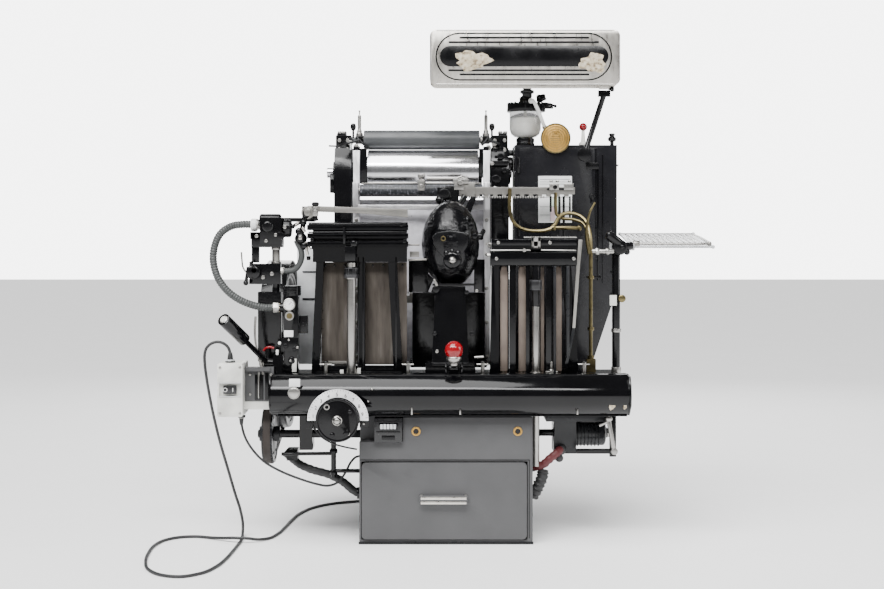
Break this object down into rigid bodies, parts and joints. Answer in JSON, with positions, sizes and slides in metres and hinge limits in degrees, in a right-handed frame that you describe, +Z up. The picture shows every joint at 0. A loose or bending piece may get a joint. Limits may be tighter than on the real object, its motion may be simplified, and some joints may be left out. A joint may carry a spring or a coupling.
{
  "type": "platen printing press",
  "caption": "Floor-standing automatic platen printing press with rotating sheet grippers, inking rollers, feed and delivery tables, flywheel, lamp and drawer base.",
  "frame": {"origin": "centre of the base's flat underside, on the floor", "axes": "+X to the delivery side, +Y to the back, +Z up"},
  "size_m": [1.8987, 1.3131, 1.775],
  "materials": {
    "grey_paint": "worn satin grey enamel",
    "black_paint": "gloss black enamel",
    "black_iron": "black painted casting",
    "bed_steel": "dull machined",
    "bright_steel": "bright machined",
    "drum_steel": "polished",
    "nickel": "satin nickel plate",
    "brass": "aged",
    "roller_rubber": "smooth blue-grey composition",
    "cable_rubber": "matte black",
    "hose_plastic": "ribbed grey",
    "black_plastic": "moulded black",
    "red_plastic": "polished red ball",
    "pale_paint": "pale satin",
    "pale_plastic": "pale moulded",
    "beige_plastic": "beige moulded",
    "belt_leather": "oiled flat belt",
    "glass": "clear"
  },
  "bodies": {
    "frame": {"base_casting": "grey_paint", "main_frame": "black_paint", "front_beam": "black_paint", "rear_frame_left": "black_paint", "rear_frame_right": "black_paint", "type_bed": "bed_steel", "hub_pedestal": "black_paint", "hub_housing": "black_paint", "feed_frame": "black_paint", "feed_guide_plate": "bed_steel", "feed_column": "bright_steel", "delivery_frame": "black_paint", "delivery_grid": "bright_steel", "delivery_column": "bright_steel", "side_cabinet": "black_paint", "spray_jar": "glass", "jar_lid": "black_plastic", "brass_plate": "brass", "tray_post": "black_paint", "blower_tube": "brass", "drive_belt": "belt_leather", "flywheel_guard": "black_paint", "drive_motor": "grey_paint", "motor_stay": "bright_steel", "dial_plate": "pale_paint", "impression_counter": "black_plastic", "switch_box": "pale_paint", "mains_lead": "cable_rubber", "mains_coil": "cable_rubber", "mains_plug": "pale_plastic", "motor_lead": "cable_rubber", "suction_head": "black_paint", "valve_block": "black_paint", "suction_hose": "hose_plastic"},
    "flywheel": {"flywheel": "black_iron"},
    "variator": {"variator_pulley": "bright_steel"},
    "grippers": {"gripper_spider": "black_paint", "gripper_bar_upper": "bright_steel", "gripper_bar_lower": "bright_steel"},
    "ink_drum": {"ink_drum": "drum_steel"},
    "rider_roller": {"rider_roller": "roller_rubber"},
    "carriage": {"roller_carriage": "bright_steel"},
    "form_roller": {"form_roller": "roller_rubber"},
    "platen": {"platen": "black_paint"},
    "drawer": {"tool_drawer": "grey_paint"},
    "feed_board": {"feed_board": "black_paint"},
    "delivery_board": {"delivery_board": "black_paint"},
    "sucker_bar": {"sucker_bar": "bright_steel"},
    "lamp_arm": {"lamp_arm": "black_paint"},
    "lamp_hood": {"lamp_hood": "nickel"},
    "spray_lever": {"spray_lever": "red_plastic"},
    "impression_lever": {"impression_lever": "red_plastic"},
    "brake_lever": {"brake_lever": "black_paint"},
    "speed_dial": {"speed_dial": "black_plastic"},
    "rocker": {"rocker_switch": "beige_plastic"},
    "tray": {"wire_tray": "bright_steel"},
    "feed_clamp_left": {"feed_clamp_left": "bright_steel"},
    "feed_clamp_right": {"feed_clamp_right": "bright_steel"},
    "delivery_clamp_left": {"delivery_clamp_left": "bright_steel"},
    "delivery_clamp_right": {"delivery_clamp_right": "bright_steel"}
  },
  "joints": [
    {"name": "flywheel_spin", "type": "hinge", "parent": "frame", "child": "flywheel", "pos_m": [-0.597, 0.138, 0.62], "axis": [1, 0, 0], "continuous": true},
    {"name": "variator_spin", "type": "hinge", "parent": "frame", "child": "variator", "pos_m": [-0.6055, -0.182, 0.35], "axis": [1, 0, 0], "continuous": true},
    {"name": "gripper_spin", "type": "hinge", "parent": "frame", "child": "grippers", "pos_m": [0.012, 0.028, 0.999], "axis": [0, 1, 0], "continuous": true},
    {"name": "ink_drum_spin", "type": "hinge", "parent": "frame", "child": "ink_drum", "pos_m": [0, 0.188, 1.266], "axis": [1, 0, 0], "continuous": true},
    {"name": "rider_spin", "type": "hinge", "parent": "frame", "child": "rider_roller", "pos_m": [0, 0.188, 1.388], "axis": [1, 0, 0], "continuous": true},
    {"name": "carriage_slide", "type": "slide", "parent": "frame", "child": "carriage", "axis": [0, 0, 1], "range_m": [-0.5, 0]},
    {"name": "form_roller_spin", "type": "hinge", "parent": "carriage", "child": "form_roller", "pos_m": [0, 0.099, 1.197], "axis": [1, 0, 0], "continuous": true},
    {"name": "platen_swing", "type": "hinge", "parent": "frame", "child": "platen", "pos_m": [0, -0.032, 0.58], "axis": [1, 0, 0], "range_deg": [0, 18]},
    {"name": "drawer_slide", "type": "slide", "parent": "frame", "child": "drawer", "axis": [0, -1, 0], "range_m": [0, 0.3]},
    {"name": "feed_lift", "type": "slide", "parent": "frame", "child": "feed_board", "axis": [0, 0, 1], "range_m": [-0.28, 0]},
    {"name": "delivery_lift", "type": "slide", "parent": "frame", "child": "delivery_board", "axis": [0, 0, 1], "range_m": [-0.26, 0]},
    {"name": "sucker_swing", "type": "hinge", "parent": "frame", "child": "sucker_bar", "pos_m": [-0.47, -0.227, 1.11], "axis": [0, 1, 0], "range_deg": [-12, 2]},
    {"name": "lamp_arm_swing", "type": "hinge", "parent": "frame", "child": "lamp_arm", "pos_m": [0.506, 0.096, 1.328], "axis": [0, 1, 0], "range_deg": [-6, 30]},
    {"name": "lamp_tilt", "type": "hinge", "parent": "lamp_arm", "child": "lamp_hood", "pos_m": [0.578, 0.096, 1.568], "axis": [1, 0, 0], "range_deg": [-25, 25]},
    {"name": "spray_lever_turn", "type": "hinge", "parent": "frame", "child": "spray_lever", "pos_m": [0.507, 0.148, 1.375], "axis": [0, 1, 0], "range_deg": [-30, 30]},
    {"name": "impression_lever_swing", "type": "hinge", "parent": "frame", "child": "impression_lever", "pos_m": [0.026, -0.324, 0.588], "axis": [1, 0, 0], "range_deg": [-45, 25]},
    {"name": "brake_lever_swing", "type": "hinge", "parent": "frame", "child": "brake_lever", "pos_m": [-0.6, -0.272, 0.6], "axis": [1, 0, 0], "range_deg": [-20, 25]},
    {"name": "speed_dial_turn", "type": "hinge", "parent": "frame", "child": "speed_dial", "pos_m": [-0.354, -0.426, 0.429], "axis": [0, 1, 0], "range_deg": [-120, 60]},
    {"name": "rocker_tilt", "type": "hinge", "parent": "frame", "child": "rocker", "pos_m": [-0.717, -0.348, 0.52], "axis": [0, 0, 1], "range_deg": [-8, 8]},
    {"name": "tray_swivel", "type": "hinge", "parent": "frame", "child": "tray", "pos_m": [0.586, -0.182, 0.993], "axis": [0, 0, 1], "range_deg": [-80, 0]},
    {"name": "feed_clamp_left_turn", "type": "hinge", "parent": "frame", "child": "feed_clamp_left", "pos_m": [-0.405, -0.28, 0.5553], "axis": [0, 0, 1], "range_deg": [-180, 180]},
    {"name": "feed_clamp_right_turn", "type": "hinge", "parent": "frame", "child": "feed_clamp_right", "pos_m": [-0.128, -0.28, 0.5553], "axis": [0, 0, 1], "range_deg": [-180, 180]},
    {"name": "delivery_clamp_left_turn", "type": "hinge", "parent": "frame", "child": "delivery_clamp_left", "pos_m": [0.124, -0.276, 0.5553], "axis": [0, 0, 1], "range_deg": [-180, 180]},
    {"name": "delivery_clamp_right_turn", "type": "hinge", "parent": "frame", "child": "delivery_clamp_right", "pos_m": [0.466, -0.276, 0.5553], "axis": [0, 0, 1], "range_deg": [-180, 180]}
  ],
  "couplings": [
    {"joint": "variator_spin", "follows": "flywheel_spin", "ratio": 3.0208},
    {"joint": "gripper_spin", "follows": "flywheel_spin", "ratio": 0.125},
    {"joint": "ink_drum_spin", "follows": "flywheel_spin", "ratio": 0.25},
    {"joint": "rider_spin", "follows": "flywheel_spin", "ratio": -0.5903},
    {"joint": "form_roller_spin", "follows": "carriage_slide", "rad_per_m": -45.455}
  ]
}
